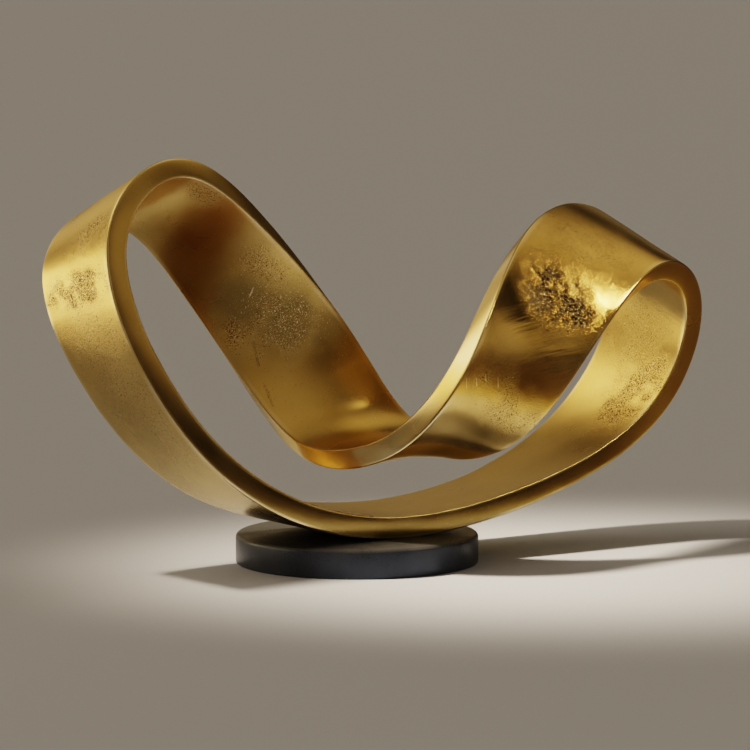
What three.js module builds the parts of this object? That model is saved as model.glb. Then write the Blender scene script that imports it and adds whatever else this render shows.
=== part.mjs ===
// An abstract cast-metal sculpture: one closed band of even section that leaves the middle of a low
// round base, rises to a tall crown on the left, falls through a valley in front, climbs to a second
// crown on the right and comes back down to the base. The band keeps the same two faces all the way
// round, and turns over once, so that its inner face at the foot is its upper face in the valley.
//
// Millimetres and degrees. +Z is up, +X runs to the right along the sculpture and +Y to the back.
// The origin is the middle of the base's underside.

import * as THREE from 'three';
import { ParametricGeometry } from 'three/addons/geometries/ParametricGeometry.js';
import { mergeVertices } from 'three/addons/utils/BufferGeometryUtils.js';

// Driving dimensions of the base.
const BASE_DIAMETER = 150;
const BASE_THICKNESS = 18;
const BASE_RIM_RADIUS = 2.5;
const BASE_FOOT_CHAMFER = 0.8;

// Driving dimensions of the band.
const BAND_WIDTH = 76;
const BAND_THICKNESS = 14;
const BAND_CORNER_RADIUS = 2.5;
const FOOT_CLEARANCE = 0.3;

// Stations round the band, from its foot up the left side and back. Each has the place of the middle of
// the section, the way the front edge lies from there (heading: 0 to the front, 90 to the right, 180 to
// the back; rise: above level), and the share of the full width and thickness that the casting has there.
const STATIONS = {
  foot: { at: [0, 0, 25], heading: 0, rise: 0 },
  leftSpring: { at: [-98, -2, 55], heading: 4, rise: 4 },
  leftWall: { at: [-160, 2, 123], heading: 5, rise: 8 },
  leftShoulder: { at: [-178, 15, 196], heading: 7, rise: 17 },
  leftCrown: { at: [-131, 32, 230], heading: 11, rise: 26, slim: 0.95 },
  fallHead: { at: [-83, 29, 197], heading: 36, rise: 31, narrow: 0.92, slim: 0.95 },
  fall: { at: [-36, 19, 132], heading: 72, rise: 34, narrow: 0.96, slim: 0.95 },
  fallFoot: { at: [-7, 4, 87], heading: 100, rise: 25, narrow: 0.96 },
  valley: { at: [17, -35, 74], heading: 124, rise: -4, narrow: 0.95 },
  climbFoot: { at: [53, -66, 102], heading: 112, rise: -36 },
  climb: { at: [102, -54, 155], heading: 74, rise: -43 },
  rightCrown: { at: [172, -18, 192], heading: 28, rise: -30 },
  rightTip: { at: [228, 8, 163], heading: 6, rise: -16 },
  rightWall: { at: [204, 18, 86], heading: 9, rise: -3, slim: 0.9 },
  rightSpring: { at: [110, 6, 38], heading: 6, rise: 3, slim: 0.9 },
};

// Fineness of the facets.
const STEPS_PER_STATION = 10;
const BASE_STEPS = 64;
const RIM_STEPS = 4;
const CORNER_STEPS = 2;
const FACE_STEPS = 3;

const GOLD_FINISH = { color: 0xb48a3a, roughness: 0.32, metalness: 1 };
const BLACK_FINISH = { color: 0x1b1b1e, roughness: 0.35, metalness: 0 };

// Control values of the closed cubic B-spline that passes through the given values. Each pass moves
// the controls by what the spline still misses, which leaves less than a ten-thousandth of it.
function throughValues(values) {
  const passes = 24;
  let controls = [...values];
  for (let pass = 0; pass < passes; pass += 1) {
    const missed = values.map((value, i) => value - splineValue(controls, i));
    controls = controls.map((control, i) => control + missed[i]);
  }
  return controls;
}

// Value of a closed uniform cubic B-spline, counted in stations from the first one.
function splineValue(controls, station) {
  const count = controls.length;
  const first = Math.floor(station);
  const f = station - first;
  const weights = [
    (1 - f) ** 3 / 6,
    (3 * f ** 3 - 6 * f ** 2 + 4) / 6,
    (-3 * f ** 3 + 3 * f ** 2 + 3 * f + 1) / 6,
    f ** 3 / 6,
  ];
  return weights.reduce((sum, weight, i) => sum + weight * controls[(first + i - 1 + count) % count], 0);
}

const stations = Object.values(STATIONS);
const track = {
  x: throughValues(stations.map((station) => station.at[0])),
  y: throughValues(stations.map((station) => station.at[1])),
  z: throughValues(stations.map((station) => station.at[2])),
  heading: throughValues(stations.map((station) => THREE.MathUtils.degToRad(station.heading))),
  rise: throughValues(stations.map((station) => THREE.MathUtils.degToRad(station.rise))),
  width: throughValues(stations.map((station) => BAND_WIDTH * (station.narrow ?? 1))),
  thickness: throughValues(stations.map((station) => BAND_THICKNESS * (station.slim ?? 1))),
};

// Middle of the section at a place along the band.
function bandCentre(station) {
  return new THREE.Vector3(
    splineValue(track.x, station),
    splineValue(track.y, station),
    splineValue(track.z, station),
  );
}

// Section at a place along the band: its middle, the way to its front edge and the way to its inner face.
function bandSection(station) {
  const reach = 0.01;
  const along = bandCentre(station + reach).sub(bandCentre(station - reach)).normalize();
  const heading = splineValue(track.heading, station);
  const rise = splineValue(track.rise, station);
  const towardEdge = new THREE.Vector3(
    Math.sin(heading) * Math.cos(rise),
    -Math.cos(heading) * Math.cos(rise),
    Math.sin(rise),
  );
  towardEdge.addScaledVector(along, -towardEdge.dot(along)).normalize();
  return {
    centre: bandCentre(station),
    towardEdge,
    towardInside: along.clone().cross(towardEdge),
    halfWidth: splineValue(track.width, station) / 2,
    halfThickness: splineValue(track.thickness, station) / 2,
  };
}

// Outline of the section. Each point has the corner, or the place between two corners, that it belongs to,
// and its direction on that corner's round, both counted toward the edge and toward the inside.
function sectionOutline() {
  const outline = [];
  const corners = [[1, 1], [-1, 1], [-1, -1], [1, -1]];
  corners.forEach(([edge, inside], quarter) => {
    for (let step = 0; step <= CORNER_STEPS; step += 1) {
      const angle = (quarter + step / CORNER_STEPS) * Math.PI / 2;
      outline.push({ edge, inside, round: [Math.cos(angle), Math.sin(angle)] });
    }
    const [nextEdge, nextInside] = corners[(quarter + 1) % corners.length];
    const isWideFace = edge !== nextEdge;
    for (let step = 1; isWideFace && step < FACE_STEPS; step += 1) {
      const share = step / FACE_STEPS;
      outline.push({ edge: edge + (nextEdge - edge) * share, inside, round: [0, nextInside] });
    }
  });
  return outline;
}

// The band is one skin that closes on itself both round its section and along its length. Its foot is
// dressed flat where it meets the base.
function makeBand() {
  const outline = sectionOutline();
  const stepCount = stations.length * STEPS_PER_STATION;
  const sections = Array.from({ length: stepCount }, (_, step) => bandSection(step / STEPS_PER_STATION));
  const seat = BASE_THICKNESS + FOOT_CLEARANCE;
  const skin = (around, along, target) => {
    const { centre, towardEdge, towardInside, halfWidth, halfThickness } =
      sections[Math.round(along * stepCount) % stepCount];
    const { edge, inside, round } = outline[Math.round(around * outline.length) % outline.length];
    const edgeReach = edge * (halfWidth - BAND_CORNER_RADIUS) + round[0] * BAND_CORNER_RADIUS;
    const insideReach = inside * (halfThickness - BAND_CORNER_RADIUS) + round[1] * BAND_CORNER_RADIUS;
    target.copy(centre).addScaledVector(towardEdge, edgeReach).addScaledVector(towardInside, insideReach);
    target.z = Math.max(target.z, seat);
  };
  return closedSkin(new ParametricGeometry(skin, outline.length, stepCount));
}

// The base is a turned disc with a softly rounded upper rim and a fine chamfer at its foot.
function makeBase() {
  const radius = BASE_DIAMETER / 2;
  const profile = new THREE.Path();
  profile.moveTo(0, 0);
  profile.lineTo(radius - BASE_FOOT_CHAMFER, 0);
  profile.lineTo(radius, BASE_FOOT_CHAMFER);
  profile.lineTo(radius, BASE_THICKNESS - BASE_RIM_RADIUS);
  profile.absarc(radius - BASE_RIM_RADIUS, BASE_THICKNESS - BASE_RIM_RADIUS, BASE_RIM_RADIUS, 0, Math.PI / 2);
  profile.lineTo(0, BASE_THICKNESS);
  const disc = new THREE.LatheGeometry(profile.getPoints(RIM_STEPS), BASE_STEPS);
  return closedSkin(disc.rotateX(Math.PI / 2));
}

// Joins the seams of a skin, so that it is one closed body.
function closedSkin(geometry) {
  geometry.deleteAttribute('normal');
  geometry.deleteAttribute('uv');
  const closed = mergeVertices(geometry);
  closed.computeVertexNormals();
  return closed;
}

function makePiece(name, geometry, finish) {
  const piece = new THREE.Mesh(geometry, new THREE.MeshStandardMaterial(finish));
  piece.name = name;
  return piece;
}

const sculpture = new THREE.Group();
sculpture.add(makePiece('ribbon_loop', makeBand(), GOLD_FINISH));
sculpture.add(makePiece('base_disc', makeBase(), BLACK_FINISH));

export default sculpture;
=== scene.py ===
"""An abstract ribbon sculpture: a closed band of gold-coloured cast metal on a low round black base."""

import math

import bmesh
import bpy
import numpy as np
from mathutils import Matrix, Vector, noise


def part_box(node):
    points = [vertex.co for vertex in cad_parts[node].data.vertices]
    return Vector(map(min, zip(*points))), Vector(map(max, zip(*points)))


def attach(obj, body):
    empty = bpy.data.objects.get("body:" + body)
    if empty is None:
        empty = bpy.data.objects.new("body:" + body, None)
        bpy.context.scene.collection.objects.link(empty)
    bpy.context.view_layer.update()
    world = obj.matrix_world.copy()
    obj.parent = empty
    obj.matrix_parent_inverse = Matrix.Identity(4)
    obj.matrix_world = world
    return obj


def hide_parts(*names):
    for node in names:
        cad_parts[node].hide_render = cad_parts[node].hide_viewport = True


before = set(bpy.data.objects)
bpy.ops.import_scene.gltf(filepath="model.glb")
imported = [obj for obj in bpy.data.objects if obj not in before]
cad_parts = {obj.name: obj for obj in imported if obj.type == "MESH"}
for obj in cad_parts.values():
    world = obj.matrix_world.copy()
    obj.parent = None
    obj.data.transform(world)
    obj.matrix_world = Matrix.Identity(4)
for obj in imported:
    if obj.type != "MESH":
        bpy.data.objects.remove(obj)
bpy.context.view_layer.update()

# The camera stands 2.4 m off and a little above the sculpture, which is turned by 30 degrees to it.
# Its long lens gives the photograph's flat perspective.
VIEW_TURN = math.radians(-30)
VIEW_DROP = math.radians(6.02)
CAMERA_STANDS = Vector((0.0111, -2.3886, 0.3675))
FRAME_PIXELS = 750
FOCAL_PIXELS = 3900
SENSOR_WIDTH = 36
FARTHEST_SEEN = 200

camera_data = bpy.data.cameras.new("camera")
camera_data.sensor_width = SENSOR_WIDTH
camera_data.lens = SENSOR_WIDTH * FOCAL_PIXELS / FRAME_PIXELS
camera_data.clip_end = FARTHEST_SEEN
camera = bpy.data.objects.new("camera", camera_data)
view_frame = Matrix.Rotation(VIEW_TURN, 4, "Z")
looking_down = Matrix.Rotation(math.pi / 2 - VIEW_DROP, 4, "X")
camera.matrix_world = view_frame @ Matrix.Translation(CAMERA_STANDS) @ looking_down
bpy.context.scene.collection.objects.link(camera)
bpy.context.scene.camera = camera


# The base is a turned disc of black stone. Its upper rim is rounded over and its foot is finely
# chamfered. It is rubbed to a satin finish, and has small pale bruises, most of them along the foot.
RIM_RADIUS = 0.0025
RIM_STEPS = 6
FOOT_CHAMFER = 0.0008
CHAMFER_STEPS = 2
DISC_STEPS = 192
CAP_INSET = 0.004

base_low, base_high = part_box("base_disc")
base_radius = (base_high.x - base_low.x) / 2
base_top = base_high.z

disc = bmesh.new()
bmesh.ops.create_cone(
    disc,
    cap_ends=True,
    segments=DISC_STEPS,
    radius1=base_radius,
    radius2=base_radius,
    depth=base_top,
)
bmesh.ops.translate(disc, vec=(0, 0, base_top / 2), verts=disc.verts)
upper_rim = [edge for edge in disc.edges if all(vert.co.z > base_top / 2 for vert in edge.verts)]
bmesh.ops.bevel(
    disc,
    geom=upper_rim,
    offset=RIM_RADIUS,
    affect="EDGES",
    segments=RIM_STEPS,
    profile=0.5,
    material=-1,
)
lower_rim = [edge for edge in disc.edges if all(vert.co.z < base_top / 2 for vert in edge.verts)]
bmesh.ops.bevel(
    disc,
    geom=lower_rim,
    offset=FOOT_CHAMFER,
    affect="EDGES",
    segments=CHAMFER_STEPS,
    profile=0.5,
    material=-1,
)
caps = [face for face in disc.faces if len(face.verts) == DISC_STEPS]
bmesh.ops.inset_individual(disc, faces=caps, thickness=CAP_INSET)


def finished_piece(name, shape):
    """Turns a bmesh into a smooth-shaded object at the origin."""
    bmesh.ops.recalc_face_normals(shape, faces=shape.faces)
    mesh = bpy.data.meshes.new(name)
    shape.to_mesh(mesh)
    shape.free()
    for face in mesh.polygons:
        face.use_smooth = True
    piece = bpy.data.objects.new(name, mesh)
    bpy.context.scene.collection.objects.link(piece)
    return piece


def add_node(material, kind, inputs=None, **settings):
    """Adds a shader node. An input is a plain value, or a socket that is linked to it."""
    node = material.node_tree.nodes.new(kind)
    for key, value in settings.items():
        setattr(node, key, value)
    for key, value in (inputs or {}).items():
        if isinstance(value, bpy.types.NodeSocket):
            material.node_tree.links.new(value, node.inputs[key])
        else:
            node.inputs[key].default_value = value
    return node


def speckle(material, place, per_metre, detail, harshness=0.5):
    """Soft noise with about this many spots to the metre. More detail puts finer spots within them."""
    inputs = {"Vector": place, "Scale": per_metre, "Detail": detail, "Roughness": harshness}
    return add_node(material, "ShaderNodeTexNoise", inputs).outputs["Fac"]


def ramp(material, factor, stops):
    """A colour ramp from (place, colour) stops."""
    node = add_node(material, "ShaderNodeValToRGB", {"Fac": factor})
    elements = node.color_ramp.elements
    while len(elements) < len(stops):
        elements.new(1)
    for element, (place, colour) in zip(elements, stops):
        element.position = place
        element.color = (*colour, 1)
    return node.outputs["Color"]


def spread(material, value, low, high, to_low=0.0, to_high=1.0):
    """Maps a value from one range to another, held at both ends."""
    inputs = {
        "Value": value,
        "From Min": low,
        "From Max": high,
        "To Min": to_low,
        "To Max": to_high,
    }
    return add_node(material, "ShaderNodeMapRange", inputs).outputs["Result"]


def combine(material, operation, first, second):
    """A sum, product or other arithmetic of two values."""
    node = add_node(material, "ShaderNodeMath", {0: first, 1: second}, operation=operation)
    return node.outputs["Value"]


def mixed(material, share, first, second):
    """A mix of two colours, by the share of the second."""
    node = add_node(material, "ShaderNodeMix", data_type="RGBA")
    for socket, value in zip((node.inputs[0], node.inputs[6], node.inputs[7]), (share, first, second)):
        if isinstance(value, bpy.types.NodeSocket):
            material.node_tree.links.new(value, socket)
        else:
            socket.default_value = value
    return node.outputs[2]


def blank_material(name):
    """A material with only its shader, and that shader."""
    material = bpy.data.materials.new(name)
    material.use_nodes = True
    return material, material.node_tree.nodes["Principled BSDF"]


# The stone's colours, and the spots to the metre of its clouds, its grain and its bruises. A bruise
# fades in between two levels of its noise, and the lowest few millimetres add to that noise.
DARK_STONE = (0.048, 0.053, 0.070)
GREY_STONE = (0.074, 0.081, 0.105)
BRUISED_STONE = (0.32, 0.31, 0.30, 1)
STONE_SHEEN = (0.60, 0.75, 1.0, 1)
STONE_CLOUDS = 45
STONE_GRAIN = 1400
STONE_BRUISES = 620
BRUISE_LEVELS = (0.735, 0.76)
BRUISED_FOOT = (0.0005, 0.004)
FOOT_BRUISING = 0.05
STONE_ROUGHNESS = (0.24, 0.4)
STONE_RELIEF = 0.0003
STONE_RELIEF_SHARE = 0.12


def black_stone():
    """Fine charcoal-black stone with a satin finish."""
    material, shader = blank_material("black_stone")
    place = add_node(material, "ShaderNodeTexCoord").outputs["Object"]
    cloud = speckle(material, place, STONE_CLOUDS, detail=6)
    grain = speckle(material, place, STONE_GRAIN, detail=2)
    speck = speckle(material, place, STONE_BRUISES, detail=3)
    height = add_node(material, "ShaderNodeSeparateXYZ", {"Vector": place}).outputs["Z"]
    near_foot = spread(material, height, *BRUISED_FOOT, FOOT_BRUISING, 0.0)
    bruise = spread(material, combine(material, "ADD", speck, near_foot), *BRUISE_LEVELS)
    stone = ramp(material, cloud, [(0.3, DARK_STONE), (0.7, GREY_STONE)])
    colour = mixed(material, bruise, stone, BRUISED_STONE)
    material.node_tree.links.new(colour, shader.inputs["Base Color"])
    roughness = spread(material, combine(material, "ADD", cloud, grain), 0.7, 1.3, *STONE_ROUGHNESS)
    material.node_tree.links.new(roughness, shader.inputs["Roughness"])
    shader.inputs["Specular Tint"].default_value = STONE_SHEEN
    relief = {"Height": grain, "Strength": STONE_RELIEF_SHARE, "Distance": STONE_RELIEF}
    bump = add_node(material, "ShaderNodeBump", relief)
    material.node_tree.links.new(bump.outputs["Normal"], shader.inputs["Normal"])
    return material


base_piece = finished_piece("black_base", disc)
base_piece.data.materials.append(black_stone())
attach(base_piece, "root")
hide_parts("base_disc")


# The band is one closed casting with an even section, slightly crowned edges and small round corners.
# It was cast a little wavy and pitted in patches, then plated gold and brushed, and its corners are
# worn bright. Its foot is dressed flat and sits on the middle of the base.
BAND_WIDTH = 0.076
BAND_THICKNESS = 0.014
CORNER_RADIUS = 0.0013
CORNER_STEPS = 3
EDGE_CROWN = 0.0002
STEPS_PER_STATION = 9
FACE_CUTS = 7
EDGE_CUTS = 3
SMOOTHING_LEVELS = 2
WELD_REACH = 0.0001

# Place of the middle of the section in metres, then the heading and rise of its front edge in degrees,
# then the share of the full width and thickness.
STATIONS = {
    "foot": ((0, 0, 0.025), 0, 0, 1, 1),
    "left_spring": ((-0.098, -0.002, 0.055), 4, 4, 1, 1),
    "left_wall": ((-0.160, 0.002, 0.123), 5, 8, 1, 1),
    "left_shoulder": ((-0.178, 0.015, 0.196), 7, 17, 1, 1),
    "left_crown": ((-0.131, 0.032, 0.230), 11, 26, 1, 0.95),
    "fall_head": ((-0.083, 0.029, 0.197), 36, 31, 0.92, 0.95),
    "fall": ((-0.036, 0.019, 0.132), 72, 34, 0.96, 0.95),
    "fall_foot": ((-0.007, 0.004, 0.087), 100, 25, 0.96, 1),
    "valley": ((0.017, -0.035, 0.074), 124, -4, 0.95, 1),
    "climb_foot": ((0.053, -0.066, 0.102), 112, -36, 1, 1),
    "climb": ((0.102, -0.054, 0.155), 74, -43, 1, 1),
    "right_crown": ((0.172, -0.018, 0.192), 28, -30, 1, 1),
    "right_tip": ((0.228, 0.008, 0.163), 6, -16, 1, 1),
    "right_wall": ((0.204, 0.018, 0.086), 9, -3, 1, 0.9),
    "right_spring": ((0.110, 0.006, 0.038), 6, 3, 1, 0.9),
}


def through_stations(values, places):
    """Values at places along the closed cubic B-spline that passes through the stations' values."""
    count = len(values)
    share = np.zeros((count, count))
    for row in range(count):
        share[row, row] = 4 / 6
        share[row, row - 1] = 1 / 6
        share[row, (row + 1) % count] = 1 / 6
    controls = np.linalg.solve(share, np.array(values, float))
    first = np.floor(places).astype(int)
    f = places - first
    weights = [(1 - f) ** 3, 3 * f**3 - 6 * f**2 + 4, -3 * f**3 + 3 * f**2 + 3 * f + 1, f**3]
    return sum(weight * controls[(first + i - 1) % count] for i, weight in enumerate(weights)) / 6


def section_frames(places):
    """Middles of the section at places along the band, and a matrix for each. The matrix's axes run
    toward the front edge, toward the inner face and along the band."""
    def track(pick):
        return through_stations([pick(station) for station in STATIONS.values()], places)

    centres = np.stack([track(lambda station, axis=axis: station[0][axis]) for axis in range(3)], axis=1)
    ahead = np.gradient(np.vstack([centres[-2], centres, centres[1]]), axis=0)[1:-1]
    heading = np.radians(track(lambda station: station[1]))
    rise = np.radians(track(lambda station: station[2]))
    width_share = track(lambda station: station[3])
    thickness_share = track(lambda station: station[4])
    frames = []
    for i, centre in enumerate(centres):
        along = Vector(ahead[i]).normalized()
        edge = Vector((
            math.sin(heading[i]) * math.cos(rise[i]),
            -math.cos(heading[i]) * math.cos(rise[i]),
            math.sin(rise[i]),
        ))
        edge = (edge - along * edge.dot(along)).normalized()
        inside = along.cross(edge)
        columns = [edge * width_share[i], inside * thickness_share[i], along, Vector(centre)]
        section = Matrix([(*column, 0) for column in columns]).transposed()
        section[3] = (0, 0, 0, 1)
        frames.append(section)
    return centres, frames


band = bmesh.new()
bmesh.ops.create_grid(band, x_segments=1, y_segments=1, size=0.5)
bmesh.ops.scale(band, vec=(BAND_WIDTH - 2 * EDGE_CROWN, BAND_THICKNESS, 1), verts=band.verts)
bmesh.ops.bevel(
    band,
    geom=band.verts[:],
    offset=CORNER_RADIUS,
    affect="VERTICES",
    segments=CORNER_STEPS,
    profile=0.5,
    material=-1,
)
bmesh.ops.delete(band, geom=band.faces[:], context="FACES_ONLY")
wide_sides = [edge for edge in band.edges if edge.calc_length() > BAND_WIDTH / 2]
narrow_sides = [edge for edge in band.edges if BAND_THICKNESS / 2 < edge.calc_length() < BAND_WIDTH / 2]
bmesh.ops.subdivide_edges(band, edges=wide_sides, cuts=FACE_CUTS)
edge_cuts = bmesh.ops.subdivide_edges(band, edges=narrow_sides, cuts=EDGE_CUTS)["geom_inner"]
for vert in edge_cuts:
    if isinstance(vert, bmesh.types.BMVert):
        crown = EDGE_CROWN * (1 - (2 * vert.co.y / BAND_THICKNESS) ** 2)
        vert.co.x += math.copysign(crown, vert.co.x)

# Each point keeps its place in the section, as shares of the half width and half thickness, and its
# place along the band. That one is kept as a point on a circle, because the band closes on itself.
across = band.verts.layers.float.new("across")
through = band.verts.layers.float.new("through")
circle_x = band.verts.layers.float.new("circle_x")
circle_y = band.verts.layers.float.new("circle_y")
for vert in band.verts:
    vert[across] = vert.co.x / (BAND_WIDTH / 2)
    vert[through] = vert.co.y / (BAND_THICKNESS / 2)

steps = len(STATIONS) * STEPS_PER_STATION
centres, frames = section_frames(np.arange(steps + 1) / STEPS_PER_STATION)
travelled = np.concatenate([[0], np.cumsum(np.linalg.norm(np.diff(centres, axis=0), axis=1))])
band_length = travelled[-1]


def place_along(x, y):
    """Distance along the band in metres, from a point on the circle."""
    return math.atan2(y, x) % math.tau * band_length / math.tau


bmesh.ops.transform(band, matrix=frames[0], verts=band.verts)
for vert in band.verts:
    vert[circle_x] = 1
ring = band.edges[:]
for step in range(1, steps + 1):
    made = bmesh.ops.extrude_edge_only(band, edges=ring)["geom"]
    ring = [part for part in made if isinstance(part, bmesh.types.BMEdge) and part.is_boundary]
    ring_verts = [part for part in made if isinstance(part, bmesh.types.BMVert)]
    onward = frames[step] @ frames[step - 1].inverted()
    bmesh.ops.transform(band, matrix=onward, verts=ring_verts)
    angle = math.tau * travelled[step] / band_length
    for vert in ring_verts:
        vert[circle_x] = math.cos(angle)
        vert[circle_y] = math.sin(angle)
bmesh.ops.remove_doubles(band, verts=band.verts, dist=WELD_REACH)

# The map runs along the band and across it, in metres, with the outer face laid beside the inner one.
OUTER_SHIFT = 0.2
band_map = band.loops.layers.uv.new("band_map")
for face in band.faces:
    farthest = max(place_along(vert[circle_x], vert[circle_y]) for vert in face.verts)
    for loop in face.loops:
        place = place_along(loop.vert[circle_x], loop.vert[circle_y])
        if farthest - place > band_length / 2:
            place += band_length
        shift = OUTER_SHIFT * (1 - loop.vert[through]) / 2
        loop[band_map].uv = (place, loop.vert[across] * BAND_WIDTH / 2 + shift)

band_piece = finished_piece("gold_band", band)
finer = band_piece.modifiers.new("finer", "SUBSURF")
finer.levels = SMOOTHING_LEVELS
finer.render_levels = SMOOTHING_LEVELS
graph = bpy.context.evaluated_depsgraph_get()
fine_mesh = bpy.data.meshes.new_from_object(
    band_piece.evaluated_get(graph), preserve_all_data_layers=True, depsgraph=graph
)
band_piece.modifiers.clear()
band_piece.data = fine_mesh

# Patches of the skin: the face they are on, their place along the band and across it in metres, their
# half lengths both ways, and how strong they are. These are the ones where the casting was left rough.
INNER = 1
OUTER = -1
ROUGH_PATCHES = {
    "left_wall_low": (OUTER, 0.170, 0.008, 0.055, 0.050, 0.42),
    "left_wall_middle": (OUTER, 0.222, 0.004, 0.024, 0.040, 0.50),
    "left_wall": (OUTER, 0.254, 0.006, 0.010, 0.046, 0.78),
    "left_shoulder": (OUTER, 0.281, 0.018, 0.010, 0.026, 0.70),
    "left_crown": (INNER, 0.365, 0.030, 0.014, 0.012, 0.48),
    "left_crown_back": (INNER, 0.364, -0.017, 0.012, 0.016, 0.32),
    "fall_head": (INNER, 0.425, 0.019, 0.018, 0.016, 0.52),
    "fall_edge": (INNER, 0.451, -0.025, 0.012, 0.012, 0.66),
    "fall": (INNER, 0.460, 0.006, 0.022, 0.032, 0.60),
    "climb_foot": (OUTER, 0.652, 0.004, 0.020, 0.040, 0.50),
    "climb": (OUTER, 0.726, 0.000, 0.024, 0.030, 1.0),
    "right_crown": (OUTER, 0.770, 0.002, 0.034, 0.034, 0.40),
    "right_tip": (INNER, 0.918, 0.0, 0.034, 0.034, 0.48),
    "right_wall": (INNER, 0.955, 0.018, 0.042, 0.026, 0.66),
}
BRUSHED_PATCHES = {
    "left_shoulder": (OUTER, 0.290, 0.004, 0.070, 0.060, 0.5),
    "right_tip": (INNER, 0.895, 0.004, 0.060, 0.050, 1.0),
}
RIPPLED_PATCHES = {
    "climb": (OUTER, 0.697, 0.010, 0.020, 0.040, 1.0),
}
# Patches of painted shade and painted dark reflection: the gold takes a darker tone where the band lies in
# shade or mirrors dark things.
SHADE_PATCHES = {
    "left_spring": (OUTER, 0.110, 0.000, 0.060, 0.060, 0.28),
    "crown": (INNER, 0.402, 0.000, 0.024, 0.040, 0.40),
    "fall_head": (INNER, 0.436, -0.006, 0.020, 0.022, 0.70),
    "fall": (INNER, 0.462, 0.012, 0.022, 0.024, 0.75),
    "fall_edge": (INNER, 0.490, 0.028, 0.024, 0.020, 0.75),
    "valley_side": (INNER, 0.530, 0.024, 0.032, 0.018, 0.50),
    "valley": (OUTER, 0.600, 0.020, 0.030, 0.030, 0.75),
    "climb_foot": (OUTER, 0.668, -0.012, 0.013, 0.030, 0.40),
    "climb": (OUTER, 0.706, -0.020, 0.018, 0.020, 0.45),
    "right_tip": (INNER, 0.892, 0.000, 0.040, 0.060, 0.28),
}
# A patch is whole near its middle and has faded out at this share of its half lengths.
PATCH_REACH = 1.4
# Points this far through the half thickness are on a face, and the others are on an edge.
FACE_FROM = 0.9


def near_patch(patch, place, side, depth):
    """How far inside a patch a point of the skin lies: 1 at its middle, 0 well outside it."""
    face, centre, middle, half_along, half_across, _ = patch
    if face * depth < FACE_FROM:
        return 0
    away = math.hypot((place - centre) / half_along, (side - middle) / half_across)
    return min(1, max(0, PATCH_REACH - away))


def patchy(patches, place, side, depth, boost):
    """Strongest of a set of patches at a point of the skin."""
    return max(
        patch[-1] * min(1, max(0, near_patch(patch, place, side, depth) * boost))
        for patch in patches.values()
    )


# The roughest patch is coarse enough to need a finer mesh than the rest of the band.
COARSE_CUTS = 2
coarse_patch = ROUGH_PATCHES["climb"]
skin = bmesh.new()
skin.from_mesh(fine_mesh)
skin_layers = [skin.verts.layers.float[name] for name in ("circle_x", "circle_y", "across", "through")]


def in_coarse_patch(vert):
    """Whether a point of the skin lies in the roughest patch."""
    x, y, side, depth = (vert[layer] for layer in skin_layers)
    return near_patch(coarse_patch, place_along(x, y), side * BAND_WIDTH / 2, depth) > 0


coarse_edges = [edge for edge in skin.edges if all(in_coarse_patch(vert) for vert in edge.verts)]
bmesh.ops.subdivide_edges(skin, edges=coarse_edges, cuts=COARSE_CUTS, use_grid_fill=True)
skin.to_mesh(fine_mesh)
skin.free()

# Hand finishing leaves the faces a little wavy. Each wave has a pitch, in waves to the metre, and a
# height in metres. The roughest patch has a fine wave of its own.
WAVES = [(24, 0.00030), (60, 0.00008)]
COARSE_PITCH = 620
COARSE_HEIGHT = 0.00009
# The outlines of the patches are ragged, by waves with these pitches and strengths.
RAGGED_WAVES = [(70, 0.6), (160, 0.5)]
RAGGED_MEAN = 0.9
ROUGH_BOOST = 1.25
# How evenly, and how raggedly, the patches of painted shade cover.
SHADE_EVEN = 0.8
SHADE_RAGGED = 0.4
# Pitting and satin of the skin away from the patches. The outer face is smoother from the climb on.
FACE_PITTING = 0.08
EDGE_PITTING = 0.03
INNER_SATIN = 0.30
OUTER_SATIN = 0.29
CLIMB_SATIN = 0.21
CLIMB_STARTS = 0.56
EDGE_SATIN = 0.26
# The edges are smoother near the foot and darker there with painted shade, and both fade to the rest of them
# by this distance.
FOOT_REACH = 0.22
FOOT_FADE = 3
FOOT_SATIN = 0.20
FOOT_SHADE = 0.75
# The corners are worn bright within this many corner radii. The back edge is rubbed bright over its
# whole thickness through the valley and the climb, between these places along the band.
WEAR_REACH = 1.6
WEAR_MEAN = 0.7
WEAR_PITCH = 45
POLISHED_EDGE = (0.495, 0.735)


def clipped(value):
    """A value held between 0 and 1."""
    return min(1, max(0, value))


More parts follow.
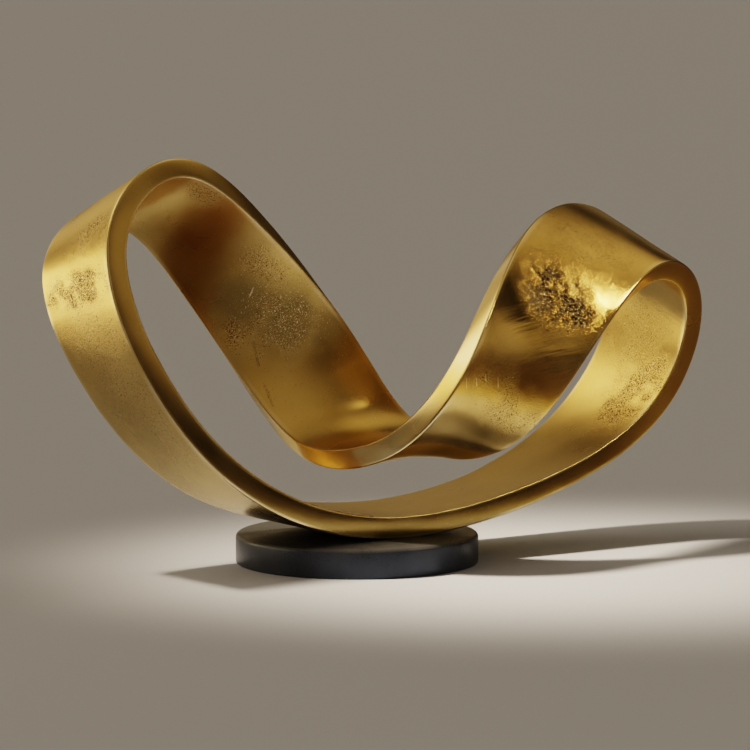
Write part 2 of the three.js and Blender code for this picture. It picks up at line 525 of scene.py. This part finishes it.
for name in ("rough", "brushed", "rippled", "painted_shade", "satin", "worn"):
    fine_mesh.attributes.new(name, "FLOAT", "POINT")
layers = {name: layer.data for name, layer in fine_mesh.attributes.items()}
normals = [vert.normal.copy() for vert in fine_mesh.vertices]
for i, vert in enumerate(fine_mesh.vertices):
    place = place_along(layers["circle_x"][i].value, layers["circle_y"][i].value)
    side = layers["across"][i].value * BAND_WIDTH / 2
    depth = layers["through"][i].value
    ragged = sum((strength * noise.noise(vert.co * pitch) for pitch, strength in RAGGED_WAVES), RAGGED_MEAN)

    if depth > FACE_FROM:
        pitting, satin, shade = FACE_PITTING, INNER_SATIN, 0
    elif depth < -FACE_FROM:
        pitting, satin, shade = FACE_PITTING, CLIMB_SATIN if place > CLIMB_STARTS else OUTER_SATIN, 0
    else:
        # Edges near the foot get painted shade, a darker tone that fades away from the foot.
        near_foot = clipped(FOOT_FADE * (1 - min(place, band_length - place) / FOOT_REACH))
        pitting = EDGE_PITTING
        satin = EDGE_SATIN + (FOOT_SATIN - EDGE_SATIN) * near_foot
        shade = FOOT_SHADE * near_foot
    rough = patchy(ROUGH_PATCHES, place, side, depth, ROUGH_BOOST * ragged)
    layers["rough"][i].value = max(pitting, rough)
    layers["brushed"][i].value = patchy(BRUSHED_PATCHES, place, side, depth, 1)
    layers["rippled"][i].value = patchy(RIPPLED_PATCHES, place, side, depth, 1)
    # Painted shade on the skin: the stronger of the patches' and the foot's.
    shade_patch = patchy(SHADE_PATCHES, place, side, depth, SHADE_EVEN + SHADE_RAGGED * ragged)
    layers["painted_shade"][i].value = max(shade, shade_patch)
    layers["satin"][i].value = satin

    from_edge = BAND_WIDTH / 2 - abs(side)
    from_face = (1 - abs(depth)) * BAND_THICKNESS / 2
    wear = WEAR_REACH - math.hypot(from_edge, from_face) / CORNER_RADIUS
    if side < 0 and from_edge < CORNER_RADIUS and POLISHED_EDGE[0] < place < POLISHED_EDGE[1]:
        wear = 1
    layers["worn"][i].value = clipped(wear * (WEAR_MEAN + noise.noise(vert.co * WEAR_PITCH)))

    lift = sum(noise.noise(vert.co * pitch) * height for pitch, height in WAVES)
    coarse = clipped(near_patch(coarse_patch, place, side, depth) * ragged)
    lift += coarse * noise.noise(vert.co * COARSE_PITCH) * COARSE_HEIGHT
    vert.co += normals[i] * lift
    vert.co.z = max(vert.co.z, base_top)


# Marks of the hand tools: the face they are on, and the places of their two ends along the band and
# across it. A mark fades in from its outline to this share of its half width.
TICKS = [
    (OUTER, (0.6435, -0.0345), (0.6385, -0.0290)),
    (OUTER, (0.6475, -0.0270), (0.6435, -0.0225)),
    (OUTER, (0.6525, -0.0215), (0.6490, -0.0175)),
    (OUTER, (0.6570, -0.0115), (0.6520, -0.0060)),
    (INNER, (0.4330, 0.0050), (0.4370, -0.0020)),
]
TICK_WIDTH = 0.0012
CREASES = [
    (INNER, (0.456, -0.0150), (0.482, -0.0265)),
    (INNER, (0.481, -0.0260), (0.508, -0.0340)),
    (INNER, (0.357, 0.0240), (0.372, 0.0330)),
]
CREASE_WIDTH = 0.0034
MARK_WHOLE = 0.5


def tool_marks(material, on_band, marks, width):
    """Share of the skin that a set of straight marks covers."""
    covered = 0.0
    for face, start, end in marks:
        shift = 0 if face == INNER else OUTER_SHIFT
        run, fall = end[0] - start[0], end[1] - start[1]
        middle = ((start[0] + end[0]) / 2, (start[1] + end[1]) / 2 + shift, 0)
        inputs = {
            "Vector": on_band,
            "Location": middle,
            "Rotation": (0, 0, math.atan2(fall, run)),
            "Scale": (math.hypot(run, fall) / 2, width / 2, 1),
        }
        local = add_node(material, "ShaderNodeMapping", inputs, vector_type="TEXTURE").outputs["Vector"]
        away = add_node(material, "ShaderNodeVectorMath", {0: local}, operation="ABSOLUTE").outputs["Vector"]
        parts = add_node(material, "ShaderNodeSeparateXYZ", {"Vector": away}).outputs
        farther = combine(material, "MAXIMUM", parts["X"], parts["Y"])
        covered = combine(material, "MAXIMUM", covered, spread(material, farther, 1.0, MARK_WHOLE))
    return covered


# Brush strokes and ripples: the way they run, turned from the band's length, and their length and width.
BRUSH_TURN = math.radians(75)
BRUSH_STROKE = (0.030, 0.0022)
RIPPLE_TURN = math.radians(40)
RIPPLE_STROKE = (0.060, 0.0060)


def strokes(material, on_band, turn, size):
    """Height of long strokes that run one way over the skin."""
    inputs = {"Vector": on_band, "Rotation": (0, 0, turn), "Scale": (*size, 1)}
    stretched = add_node(material, "ShaderNodeMapping", inputs, vector_type="TEXTURE").outputs["Vector"]
    return speckle(material, stretched, 1, detail=2)


# The gold's two tones, and its darker colour where shade is painted on, its colour in its pits, on fresh
# flecks and where it is worn.
# Then the spots to the metre of its clouds, its grain and its flakes.
DEEP_GOLD = (0.66, 0.47, 0.18)
PALE_GOLD = (0.80, 0.60, 0.27)
SHADED_GOLD = (0.26, 0.195, 0.08, 1)
PIT_BROWN = (0.05, 0.035, 0.015, 1)
FLECK_GOLD = (0.95, 0.83, 0.60, 1)
WORN_GOLD = (0.92, 0.79, 0.54, 1)
GOLD_CLOUDS = 16
GOLD_GRAIN = 1300
GOLD_FLAKES = 560
# Levels of noise between which the marks fade in, and how far rough skin and painted shade move them.
PIT_LEVELS = (0.30, 0.24)
PITS_IF_ROUGH = 0.26
CREASE_LEVELS = (0.46, 0.58)
CREASE_STRENGTH = 0.5
HOLE_LEVELS = (0.36, 0.30)
HOLES_IF_ROUGH = 0.27
COARSE_FROM = 0.55
PITS_IF_SHADED = 0.35
WHOLLY_SHADED = 0.6
FLECK_LEVELS = (0.71, 0.78)
FLECKS_IF_ROUGH = 0.17
FLECKS_IF_SHADED = 0.05
TICK_STRENGTH = 0.8
WEAR_STRENGTH = 0.8
SATIN_SPREAD = 0.06
# Height of the grain where it is roughest, in metres, and of the other relief as multiples of it.
GRAIN_RELIEF = 0.0005
FLAKE_RELIEF = 1.8
BRUSH_RELIEF = 0.16
RIPPLE_RELIEF = 1.2
TICK_RELIEF = 0.4


def cast_gold():
    """Cast metal with a brushed gold skin, from the values that the mesh carries for each point."""
    material, shader = blank_material("cast_gold")

    def carried(name):
        return add_node(material, "ShaderNodeAttribute", attribute_name=name).outputs["Fac"]

    def times(first, second):
        return combine(material, "MULTIPLY", first, second)

    place = add_node(material, "ShaderNodeTexCoord").outputs["Object"]
    on_band = add_node(material, "ShaderNodeUVMap", uv_map="band_map").outputs["UV"]
    rough = carried("rough")
    painted_shade = carried("painted_shade")
    cloud = speckle(material, place, GOLD_CLOUDS, detail=3)
    grain = speckle(material, place, GOLD_GRAIN, detail=2, harshness=0.7)
    flake = speckle(material, place, GOLD_FLAKES, detail=3)

    gold = ramp(material, cloud, [(0.35, DEEP_GOLD), (0.65, PALE_GOLD)])
    # Painted shade: a darker gold mixed in wherever the mesh carries it.
    gold = mixed(material, painted_shade, gold, SHADED_GOLD)
    pits = spread(material, combine(material, "SUBTRACT", grain, times(rough, PITS_IF_ROUGH)), *PIT_LEVELS)
    creased = times(tool_marks(material, on_band, CREASES, CREASE_WIDTH), grain)
    creased = spread(material, creased, *CREASE_LEVELS, 0.0, CREASE_STRENGTH)
    opened = times(combine(material, "SUBTRACT", rough, COARSE_FROM), HOLES_IF_ROUGH)
    holes = spread(material, combine(material, "SUBTRACT", flake, opened), *HOLE_LEVELS)
    pits = combine(material, "MAXIMUM", combine(material, "MAXIMUM", pits, creased), holes)
    pits = times(pits, spread(material, painted_shade, 0.0, WHOLLY_SHADED, 1.0, PITS_IF_SHADED))
    raised = combine(material, "ADD", times(rough, FLECKS_IF_ROUGH), grain)
    raised = combine(material, "ADD", raised, times(painted_shade, FLECKS_IF_SHADED))
    ticks = times(tool_marks(material, on_band, TICKS, TICK_WIDTH), TICK_STRENGTH)
    flecks = combine(material, "MAXIMUM", spread(material, raised, *FLECK_LEVELS), ticks)
    colour = mixed(material, pits, gold, PIT_BROWN)
    colour = mixed(material, flecks, colour, FLECK_GOLD)
    colour = mixed(material, times(carried("worn"), WEAR_STRENGTH), colour, WORN_GOLD)
    material.node_tree.links.new(colour, shader.inputs["Base Color"])

    uneven = spread(material, cloud, 0.3, 0.7, -SATIN_SPREAD, SATIN_SPREAD)
    roughness = combine(material, "ADD", carried("satin"), uneven)
    material.node_tree.links.new(roughness, shader.inputs["Roughness"])
    shader.inputs["Metallic"].default_value = 1

    brush = strokes(material, on_band, BRUSH_TURN, BRUSH_STROKE)
    ripple = strokes(material, on_band, RIPPLE_TURN, RIPPLE_STROKE)
    relief = times(grain, rough)
    for height, where, strength in (
        (flake, spread(material, rough, COARSE_FROM, 1.0), FLAKE_RELIEF),
        (brush, carried("brushed"), BRUSH_RELIEF),
        (ripple, carried("rippled"), RIPPLE_RELIEF),
        (ticks, 1.0, TICK_RELIEF),
    ):
        relief = combine(material, "ADD", relief, times(times(height, where), strength))
    bump = add_node(material, "ShaderNodeBump", {"Height": relief, "Strength": 1, "Distance": GRAIN_RELIEF})
    material.node_tree.links.new(bump.outputs["Normal"], shader.inputs["Normal"])
    return material


fine_mesh.materials.clear()
fine_mesh.materials.append(cast_gold())
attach(band_piece, "root")
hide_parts("ribbon_loop")


# A plain pale floor runs away on all sides, and nothing stands on it but the sculpture. Its grey is a
# cool one, so that it looks neutral under the warm light.
FLOOR_REACH = 60
FLOOR_STEPS = 96
PALE_FLOOR = (0.48, 0.545, 0.765)
MATT_ROUGHNESS = 0.9
MATT_SHEEN = 0.1


def matt_material(name):
    """A material with a matt shader, and that shader."""
    material, shader = blank_material(name)
    shader.inputs["Roughness"].default_value = MATT_ROUGHNESS
    shader.inputs["Specular IOR Level"].default_value = MATT_SHEEN
    return material, shader


floor_shape = bmesh.new()
bmesh.ops.create_circle(floor_shape, cap_ends=True, segments=FLOOR_STEPS, radius=FLOOR_REACH)
floor = finished_piece("floor", floor_shape)
floor_material, floor_shader = matt_material("pale_floor")
floor_shader.inputs["Base Color"].default_value = (*PALE_FLOOR, 1)
floor.data.materials.append(floor_material)


# A card lies on the floor on the right in front, as photographers lay one, for the metal to mirror. It
# shades from the floor's own tone through ochre to brown, and shows only in reflections. Its near edge
# and the line where it has turned brown are measured from the middle of the base.
OCHRE_CARD = (0.62, 0.60, 0.28)
BROWN_CARD = (0.24, 0.19, 0.17)
CARD_WAY = Vector((0.812, -0.584, 0))
CARD_FROM = 0.25
BROWN_BY = 0.41
OCHRE_SHARE = 0.35
CARD_REACH = 6
CARD_HEIGHT = 0.0005

card_shape = bmesh.new()
bmesh.ops.create_grid(card_shape, x_segments=1, y_segments=1, size=CARD_REACH)
card_turn = Matrix.Rotation(math.atan2(CARD_WAY.y, CARD_WAY.x), 4, "Z")
card_shift = Matrix.Translation((CARD_FROM + CARD_REACH, 0, CARD_HEIGHT))
bmesh.ops.transform(card_shape, matrix=card_turn @ card_shift, verts=card_shape.verts)
card = finished_piece("card", card_shape)
card.visible_camera = False
card.visible_diffuse = False
card.visible_shadow = False
card_material, card_shader = matt_material("shaded_card")
card_place = add_node(card_material, "ShaderNodeTexCoord").outputs["Object"]
distance = add_node(
    card_material, "ShaderNodeVectorMath", {0: card_place, 1: CARD_WAY}, operation="DOT_PRODUCT"
).outputs["Value"]
shading = spread(card_material, distance, CARD_FROM, BROWN_BY)
card_colour = ramp(card_material, shading, [(0, PALE_FLOOR), (OCHRE_SHARE, OCHRE_CARD), (1, BROWN_CARD)])
card_material.node_tree.links.new(card_colour, card_shader.inputs["Base Color"])
card.data.materials.append(card_material)


# Soft studio light: a lamp over the left lights the floor round the base. A low panel stands behind on
# the left and a small one is high on the right, for the metal to mirror. The room beyond is dim in front
# and on the right, and brighter on the left and behind.
LIGHT_COLOUR = (1.0, 0.77, 0.46)


def way_to(turn, height):
    """Direction from the sculpture, turned from the front toward the right and raised, in degrees."""
    turn, height = math.radians(turn), math.radians(height)
    return Vector((math.sin(turn) * math.cos(height), -math.cos(turn) * math.cos(height), math.sin(height)))


def soft_light(name, kind, stands, aim, power, mirrored):
    """A lamp for the floor, or a panel for the metal to mirror, that faces what it is aimed at."""
    light = bpy.data.lights.new(name, kind)
    light.energy = power
    light.color = LIGHT_COLOUR
    fitting = bpy.data.objects.new(name, light)
    turn = (Vector(stands) - Vector(aim)).to_track_quat("Z", "Y").to_matrix().to_4x4()
    fitting.matrix_world = Matrix.Translation(stands) @ turn
    fitting.visible_camera = False
    fitting.visible_glossy = mirrored
    fitting.visible_diffuse = not mirrored
    bpy.context.scene.collection.objects.link(fitting)
    return light


LAMP_AIM = Vector((0.09, -0.07, 0))
LAMP_DISTANCE = 1.8
LAMP_STANDS = LAMP_AIM + way_to(-115, 62) * LAMP_DISTANCE
LAMP_POWER = 240
LAMP_CONE = math.radians(18)
LAMP_RADIUS = 0.10
floor_lamp = soft_light("floor_lamp", "SPOT", LAMP_STANDS, LAMP_AIM, LAMP_POWER, mirrored=False)
floor_lamp.spot_size = LAMP_CONE
floor_lamp.spot_blend = 1
floor_lamp.shadow_soft_size = LAMP_RADIUS

LOW_PANEL_AIM = (-0.17, 0, 0.12)
LOW_PANEL_STANDS = (-0.44, 0.32, 0.12)
LOW_PANEL_POWER = 0.52
LOW_PANEL_SIZE = (0.40, 0.22)
low_panel = soft_light("low_panel", "AREA", LOW_PANEL_STANDS, LOW_PANEL_AIM, LOW_PANEL_POWER, mirrored=True)
low_panel.shape = "RECTANGLE"
low_panel.size, low_panel.size_y = LOW_PANEL_SIZE

CROWN_PANEL_AIM = Vector((0.139, -0.059, 0.159))
CROWN_PANEL_STANDS = CROWN_PANEL_AIM + Vector((0.231, -0.319, 0.385))
CROWN_PANEL_POWER = 0.020
CROWN_PANEL_SIZE = 0.06
CROWN_PANEL_SPREAD = math.radians(36)
crown_panel = soft_light(
    "crown_panel", "AREA", CROWN_PANEL_STANDS, CROWN_PANEL_AIM, CROWN_PANEL_POWER, mirrored=True
)
crown_panel.size = CROWN_PANEL_SIZE
crown_panel.spread = CROWN_PANEL_SPREAD

# Brightness of the room: the way it comes from, how far it reaches in degrees, and how strong it is.
ROOM_GLOW = [
    (way_to(-135, 46), 26, 2.0),
    (way_to(-100, 47), 20, 1.3),
    (way_to(-165, 42), 26, 0.35),
    (way_to(-148, 5), 16, 0.80),
    (way_to(-105, 8), 18, 2.2),
    (way_to(-178, 12), 20, 0.60),
    (way_to(152, 18), 20, 0.25),
    (way_to(42, 20), 14, 0.30),
    (way_to(61, 6), 14, 0.50),
    (way_to(-8, 22), 32, 0.27),
    (way_to(-15, 60), 32, 0.25),
    (way_to(94, 59), 32, 0.56),
    (way_to(40, 42), 13, 0.18),
]
ROOM_DIM = 0.04

room = bpy.data.worlds.new("room")
room.use_nodes = True
bpy.context.scene.world = room
way = add_node(room, "ShaderNodeTexCoord").outputs["Generated"]
glow = ROOM_DIM
for toward, reach, strength in ROOM_GLOW:
    inputs = {0: way, 1: toward}
    facing = add_node(room, "ShaderNodeVectorMath", inputs, operation="DOT_PRODUCT").outputs["Value"]
    lobe = spread(room, facing, math.cos(math.radians(reach)), 1, 0, strength)
    glow = combine(room, "ADD", lobe, glow)
background = room.node_tree.nodes["Background"]
background.inputs["Color"].default_value = (*LIGHT_COLOUR, 1)
room.node_tree.links.new(glow, background.inputs["Strength"])

# The picture keeps deep shadows, as a contrasty print does.
bpy.context.scene.view_settings.view_transform = "Filmic"
bpy.context.scene.view_settings.look = "High Contrast"
